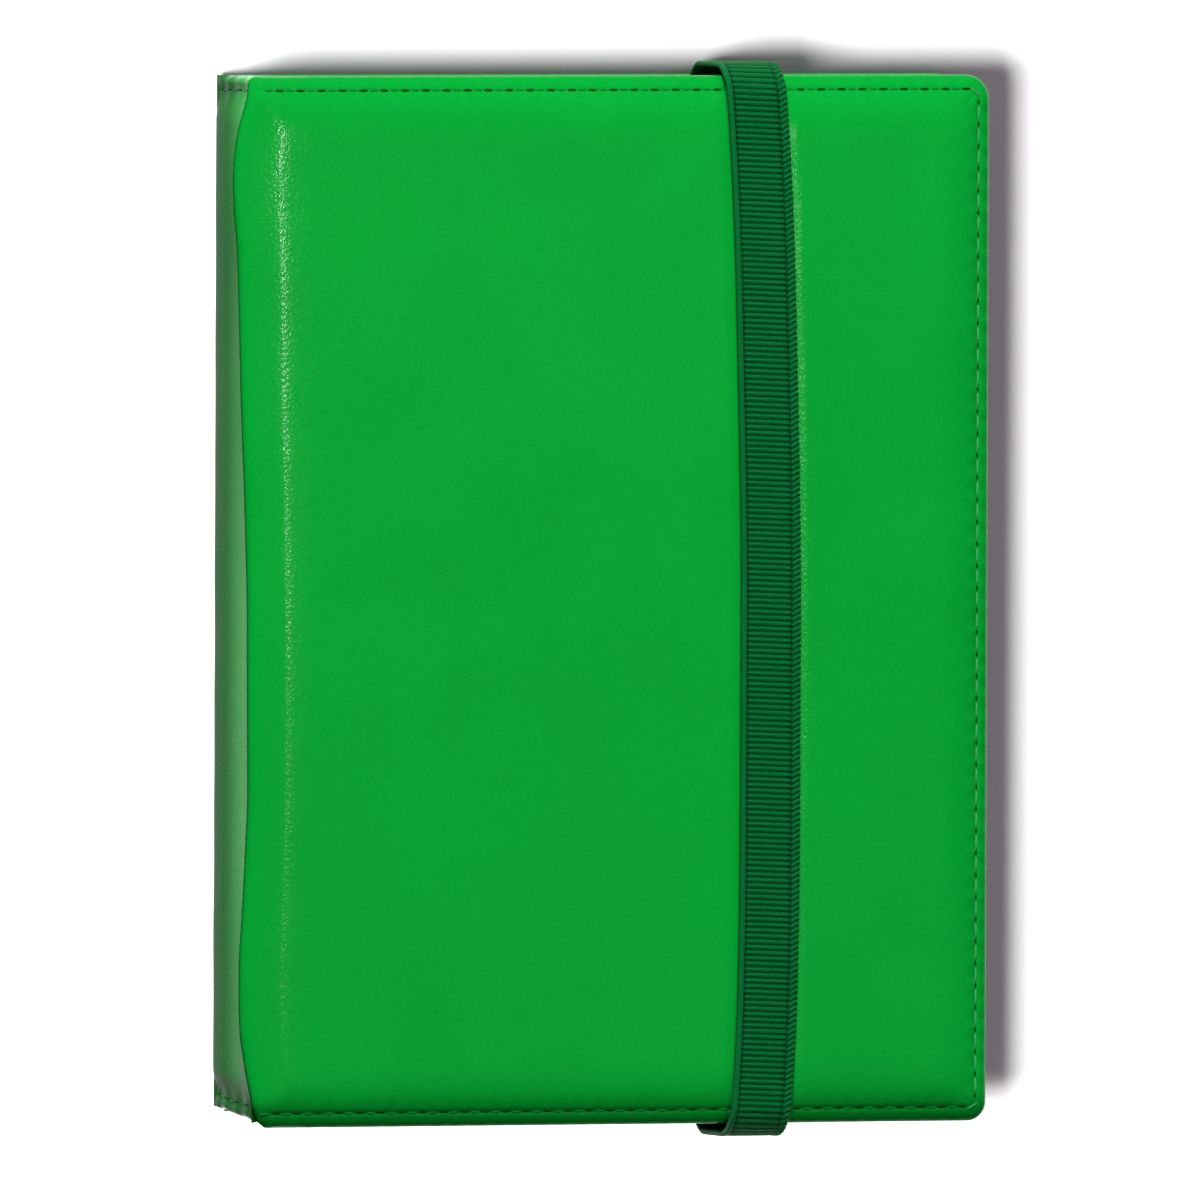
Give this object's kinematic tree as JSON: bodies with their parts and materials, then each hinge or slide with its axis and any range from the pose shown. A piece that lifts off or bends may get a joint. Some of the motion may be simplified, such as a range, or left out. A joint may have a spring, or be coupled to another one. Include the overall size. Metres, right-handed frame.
{
  "type": "stamp album",
  "caption": "Pocket stamp album with padded covers, a stitched edge, black pocket leaves on linen hinges and an elastic closure strap.",
  "frame": {"origin": "middle of the lowest face, on the back cover", "axes": "+Z from the back cover to the front cover, +Y towards the head of the book, +X from the spine to the fore-edge"},
  "size_m": [0.168, 0.2306, 0.0299],
  "materials": {
    "padded_skin": "fine-grained leather-like coating, soft gloss",
    "foam": "open-cell foam",
    "grey_board": "grey board",
    "lining_paper": "embossed endpaper",
    "seam_thread": "twisted polyester thread",
    "backing_cloth": "book cloth",
    "leaf_card": "smooth black card",
    "clear_strip": "clear film",
    "glassine": "translucent glassine",
    "linen": "woven linen",
    "strap_elastic": "ribbed woven elastic"
  },
  "bodies": {
    "back_cover": {"back_cover_board": "grey_board", "back_cover_foam": "foam", "back_cover_lining": "lining_paper", "back_cover_skin": "padded_skin", "back_cover_stitching": "seam_thread", "strap_head_tab": "strap_elastic", "strap_tail_tab": "strap_elastic"},
    "spine": {"spine_backing_strip": "backing_cloth", "spine_board": "grey_board", "spine_foam": "foam", "spine_skin": "padded_skin", "spine_stitching": "seam_thread"},
    "front_cover": {"front_cover_board": "grey_board", "front_cover_foam": "foam", "front_cover_lining": "lining_paper", "front_cover_skin": "padded_skin", "front_cover_stitching": "seam_thread"},
    "strap": {"strap_front_run": "strap_elastic", "strap_head_turn": "strap_elastic", "strap_tail_turn": "strap_elastic"},
    "linen_1": {"leaf_1_linen_hinge": "linen"},
    "leaf_1": {"leaf_1_card": "leaf_card", "leaf_1_pocket_strips": "clear_strip", "leaf_1_interleaf": "glassine"},
    "linen_2": {"leaf_2_linen_hinge": "linen"},
    "leaf_2": {"leaf_2_card": "leaf_card", "leaf_2_pocket_strips": "clear_strip", "leaf_2_interleaf": "glassine"},
    "linen_3": {"leaf_3_linen_hinge": "linen"},
    "leaf_3": {"leaf_3_card": "leaf_card", "leaf_3_pocket_strips": "clear_strip", "leaf_3_interleaf": "glassine"},
    "linen_4": {"leaf_4_linen_hinge": "linen"},
    "leaf_4": {"leaf_4_card": "leaf_card", "leaf_4_pocket_strips": "clear_strip", "leaf_4_interleaf": "glassine"},
    "linen_5": {"leaf_5_linen_hinge": "linen"},
    "leaf_5": {"leaf_5_card": "leaf_card", "leaf_5_pocket_strips": "clear_strip", "leaf_5_interleaf": "glassine"},
    "linen_6": {"leaf_6_linen_hinge": "linen"},
    "leaf_6": {"leaf_6_card": "leaf_card", "leaf_6_pocket_strips": "clear_strip", "leaf_6_interleaf": "glassine"},
    "linen_7": {"leaf_7_linen_hinge": "linen"},
    "leaf_7": {"leaf_7_card": "leaf_card", "leaf_7_pocket_strips": "clear_strip", "leaf_7_interleaf": "glassine"},
    "linen_8": {"leaf_8_linen_hinge": "linen"},
    "leaf_8": {"leaf_8_card": "leaf_card", "leaf_8_pocket_strips": "clear_strip", "leaf_8_interleaf": "glassine"}
  },
  "joints": [
    {"name": "album_opening", "type": "hinge", "parent": "back_cover", "child": "spine", "pos_m": [-0.081, 0, 0.003], "axis": [0, -1, 0], "range_deg": [0, 90]},
    {"name": "front_cover_hinge", "type": "hinge", "parent": "spine", "child": "front_cover", "pos_m": [-0.081, 0, 0.025], "axis": [0, -1, 0], "range_deg": [0, 90]},
    {"name": "linen_1_root", "type": "hinge", "parent": "spine", "child": "linen_1", "pos_m": [-0.0776, 0, 0.00685], "axis": [0, -1, 0], "range_deg": [-79, 0]},
    {"name": "leaf_1_turn", "type": "hinge", "parent": "linen_1", "child": "leaf_1", "pos_m": [-0.0676, 0, 0.00685], "axis": [0, -1, 0], "range_deg": [-13, 0]},
    {"name": "linen_2_root", "type": "hinge", "parent": "spine", "child": "linen_2", "pos_m": [-0.0776, 0, 0.00885], "axis": [0, -1, 0], "range_deg": [-70, 0]},
    {"name": "leaf_2_turn", "type": "hinge", "parent": "linen_2", "child": "leaf_2", "pos_m": [-0.0676, 0, 0.00885], "axis": [0, -1, 0], "range_deg": [-22, 0]},
    {"name": "linen_3_root", "type": "hinge", "parent": "spine", "child": "linen_3", "pos_m": [-0.0776, 0, 0.01085], "axis": [0, -1, 0], "range_deg": [-60, 0]},
    {"name": "leaf_3_turn", "type": "hinge", "parent": "linen_3", "child": "leaf_3", "pos_m": [-0.0676, 0, 0.01085], "axis": [0, -1, 0], "range_deg": [-32, 0]},
    {"name": "linen_4_root", "type": "hinge", "parent": "spine", "child": "linen_4", "pos_m": [-0.0776, 0, 0.01285], "axis": [0, -1, 0], "range_deg": [-48, 0]},
    {"name": "leaf_4_turn", "type": "hinge", "parent": "linen_4", "child": "leaf_4", "pos_m": [-0.0676, 0, 0.01285], "axis": [0, -1, 0], "range_deg": [-44, 0]},
    {"name": "linen_5_root", "type": "hinge", "parent": "spine", "child": "linen_5", "pos_m": [-0.0776, 0, 0.01485], "axis": [0, -1, 0], "range_deg": [0, 48]},
    {"name": "leaf_5_turn", "type": "hinge", "parent": "linen_5", "child": "leaf_5", "pos_m": [-0.0676, 0, 0.01485], "axis": [0, -1, 0], "range_deg": [0, 44]},
    {"name": "linen_6_root", "type": "hinge", "parent": "spine", "child": "linen_6", "pos_m": [-0.0776, 0, 0.01685], "axis": [0, -1, 0], "range_deg": [0, 60]},
    {"name": "leaf_6_turn", "type": "hinge", "parent": "linen_6", "child": "leaf_6", "pos_m": [-0.0676, 0, 0.01685], "axis": [0, -1, 0], "range_deg": [0, 32]},
    {"name": "linen_7_root", "type": "hinge", "parent": "spine", "child": "linen_7", "pos_m": [-0.0776, 0, 0.01885], "axis": [0, -1, 0], "range_deg": [0, 70]},
    {"name": "leaf_7_turn", "type": "hinge", "parent": "linen_7", "child": "leaf_7", "pos_m": [-0.0676, 0, 0.01885], "axis": [0, -1, 0], "range_deg": [0, 22]},
    {"name": "linen_8_root", "type": "hinge", "parent": "spine", "child": "linen_8", "pos_m": [-0.0776, 0, 0.02085], "axis": [0, -1, 0], "range_deg": [0, 79]},
    {"name": "leaf_8_turn", "type": "hinge", "parent": "linen_8", "child": "leaf_8", "pos_m": [-0.0676, 0, 0.02085], "axis": [0, -1, 0], "range_deg": [0, 13]},
    {"name": "strap_settle", "type": "slide", "parent": "back_cover", "child": "strap", "axis": [0, 0, -1], "range_m": [0, 0.0137], "deforming": ["strap_front_run", "strap_head_turn", "strap_tail_turn"]}
  ],
  "couplings": [
    {"joint": "front_cover_hinge", "follows": "album_opening", "ratio": 1},
    {"joint": "linen_1_root", "follows": "album_opening", "ratio": -0.87181},
    {"joint": "leaf_1_turn", "follows": "album_opening", "ratio": -0.12819},
    {"joint": "linen_2_root", "follows": "album_opening", "ratio": -0.76555},
    {"joint": "leaf_2_turn", "follows": "album_opening", "ratio": -0.23445},
    {"joint": "linen_3_root", "follows": "album_opening", "ratio": -0.65186},
    {"joint": "leaf_3_turn", "follows": "album_opening", "ratio": -0.34814},
    {"joint": "linen_4_root", "follows": "album_opening", "ratio": -0.52396},
    {"joint": "leaf_4_turn", "follows": "album_opening", "ratio": -0.47604},
    {"joint": "linen_5_root", "follows": "album_opening", "ratio": 0.52396},
    {"joint": "leaf_5_turn", "follows": "album_opening", "ratio": 0.47604},
    {"joint": "linen_6_root", "follows": "album_opening", "ratio": 0.65186},
    {"joint": "leaf_6_turn", "follows": "album_opening", "ratio": 0.34814},
    {"joint": "linen_7_root", "follows": "album_opening", "ratio": 0.76555},
    {"joint": "leaf_7_turn", "follows": "album_opening", "ratio": 0.23445},
    {"joint": "linen_8_root", "follows": "album_opening", "ratio": 0.87181},
    {"joint": "leaf_8_turn", "follows": "album_opening", "ratio": 0.12819},
    {"joint": "strap_settle", "follows": "album_opening", "m_per_rad": 0.008531}
  ]
}
